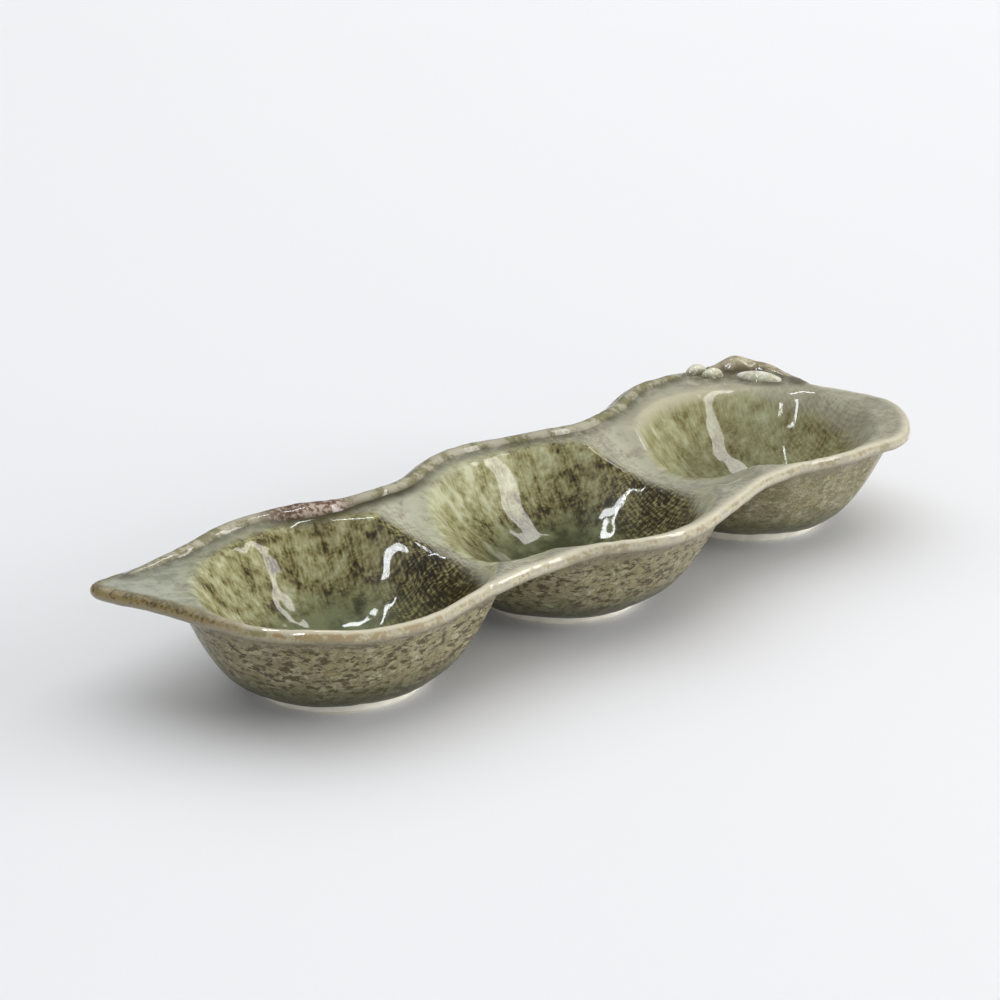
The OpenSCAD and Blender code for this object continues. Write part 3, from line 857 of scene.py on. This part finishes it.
podFinish, budFinish, footFinish = podGlaze(), budGlaze(), clayFinish()
coilFinishes = {  # shape, slot and finish of each coil
    "seam_rib": (ribShape, "glaze", podFinish),
    "stem_stalk": (stalkShape, "glaze", podFinish),
    "leaf": (leafShape, "leaf_glaze", budFinish),
    "outer_bud": (outerBudShape, "leaf_glaze", budFinish),
    "inner_bud": (innerBudShape, "leaf_glaze", budFinish),
}
dressed = [(podShell(), "pod_shell", "glaze", podFinish)]
for node, (shape, slotName, finish) in coilFinishes.items():
    dressed.append((coilPiece(node + "_glazed", coils[node], shape["profile"]), node, slotName, finish))
for piece, node, slotName, finish in dressed:
    piece.data.materials.append(finish)
    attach(piece, "root")
    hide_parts(node)
for node in footNodes:
    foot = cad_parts[node]
    foot.data.materials.clear()
    foot.data.materials.append(footFinish)
print("pieces dressed:", [piece.name for piece, *_ in dressed])


# Stage, lights and camera

stageShape = {"size": 24.0, "colour": tint(0.82, 0.82, 0.832), "roughness": 0.6}


def paleFloor():
    s = stageShape
    half = s["size"] / 2
    mesh = bpy.data.meshes.new("floor")
    corners = [(-half, -half, 0), (half, -half, 0), (half, half, 0), (-half, half, 0)]
    mesh.from_pydata(corners, [], [(0, 1, 2, 3)])
    floor = bpy.data.objects.new("floor", mesh)
    bpy.context.scene.collection.objects.link(floor)
    g = Finish(bpy.data.materials.new("paleFloor"))
    mesh.materials.append(g.surface({"Base Color": s["colour"], "Roughness": s["roughness"]}))


dishAim = (0, 0, 0.02)
white, warmWhite, coolWhite = (1, 1, 1), (1, 0.97, 0.97), (0.92, 0.97, 1)
lamps = {  # place, aim and upward side, width and height in metres, radiance against a white of 1, colour
    "ceiling": ((1.2, 1.2, 2.0), (1.2, 1.2, 0), (0, 1, 0), (4.2, 4.2), 1.1, white),
    "frontFill": ((-2.80, -4.00, 1.14), dishAim, (0, 0, 1), (4.8, 2.0), 1.2, white),
    "rightFill": ((2.70, -2.30, 0.77), dishAim, (0, 0, 1), (3.8, 1.45), 7.5, white),
    "rightWindow": ((0.170, -0.092, 0.234), dishAim, (0.06, 0.145, 0.105), (0.046, 0.235), 7.0, warmWhite),
    "leftWindow": ((-0.06, 0.27, 0.88), dishAim, (0.75, 0.55, -0.02), (0.035, 0.45), 24.0, coolWhite),
    "tipGlint": ((-0.23, -0.10, 0.33), dishAim, (0.05, 0.05, 0.10), (0.045, 0.16), 24.0, coolWhite),
    "stemGlint": ((-0.026, 0.028, 0.169), dishAim, (0.10, 0, 0.02), (0.014, 0.05), 20.0, coolWhite),
}
mirrored = ("rightWindow", "leftWindow", "tipGlint", "stemGlint")  # seen only as reflections in the glaze
worldColour = tint(0.96, 0.98, 1)
worldStrength, mirroredStrength = 0.45, 0.15  # the surround, and how strong it is in reflections


def studioLight():
    for name, (spot, aim, up, (width, height), radiance, colour) in lamps.items():
        lamp = bpy.data.lights.new(name, "AREA")
        lamp.shape, lamp.size, lamp.size_y = "RECTANGLE", width, height
        lamp.energy, lamp.color = radiance * pi * width * height, colour
        holder = bpy.data.objects.new(name, lamp)
        bpy.context.scene.collection.objects.link(holder)
        back = (Vector(spot) - Vector(aim)).normalized()
        side = Vector(up).cross(back).normalized()
        turned = Matrix((side, back.cross(side), back)).transposed().to_4x4()
        holder.matrix_world = Matrix.Translation(spot) @ turned
        holder.visible_camera = False
        holder.visible_glossy = name in mirrored
        holder.visible_diffuse = name not in mirrored
    world = bpy.data.worlds.new("studio")
    g = Finish(world)
    level = g.node("ShaderNodeMapRange", None, {
        "Value": g.node("ShaderNodeLightPath", out="Is Glossy Ray"),
        "To Min": worldStrength, "To Max": mirroredStrength})
    surround = g.node("ShaderNodeBackground", None, {"Color": worldColour, "Strength": level})
    g.node("ShaderNodeOutputWorld", None, {"Surface": surround})
    bpy.context.scene.world = world


cameraView = {
    "lens": 86.497,
    "sensor": 36,
    "clip": (0.01, 20),
    "azimuth": -45.043,
    "elevation": 20.217,
    "distance": 653.294 * mm,
    "aimRight": -16.1245 * mm,  # from the middle foot, along the image
    "aimUp": 25.3265 * mm,
}


def photoCamera():
    s = cameraView
    data = bpy.data.cameras.new("camera")
    data.lens, data.sensor_width = s["lens"], s["sensor"]
    data.clip_start, data.clip_end = s["clip"]
    a, e = radians(s["azimuth"]), radians(s["elevation"])
    back = Vector((sin(a) * cos(e), -cos(a) * cos(e), sin(e)))
    right = Vector((cos(a), sin(a), 0))
    aim = Vector((*(podMiddle * mm), 0)) + right * s["aimRight"] + back.cross(right) * s["aimUp"]
    camera = bpy.data.objects.new("camera", data)
    camera.location = aim + back * s["distance"]
    camera.rotation_euler = back.to_track_quat("Z", "Y").to_euler()
    bpy.context.scene.collection.objects.link(camera)
    bpy.context.scene.camera = camera


paleFloor()
studioLight()
photoCamera()
bpy.context.scene.view_settings.view_transform = "Standard"
print("stage, lights and camera set")
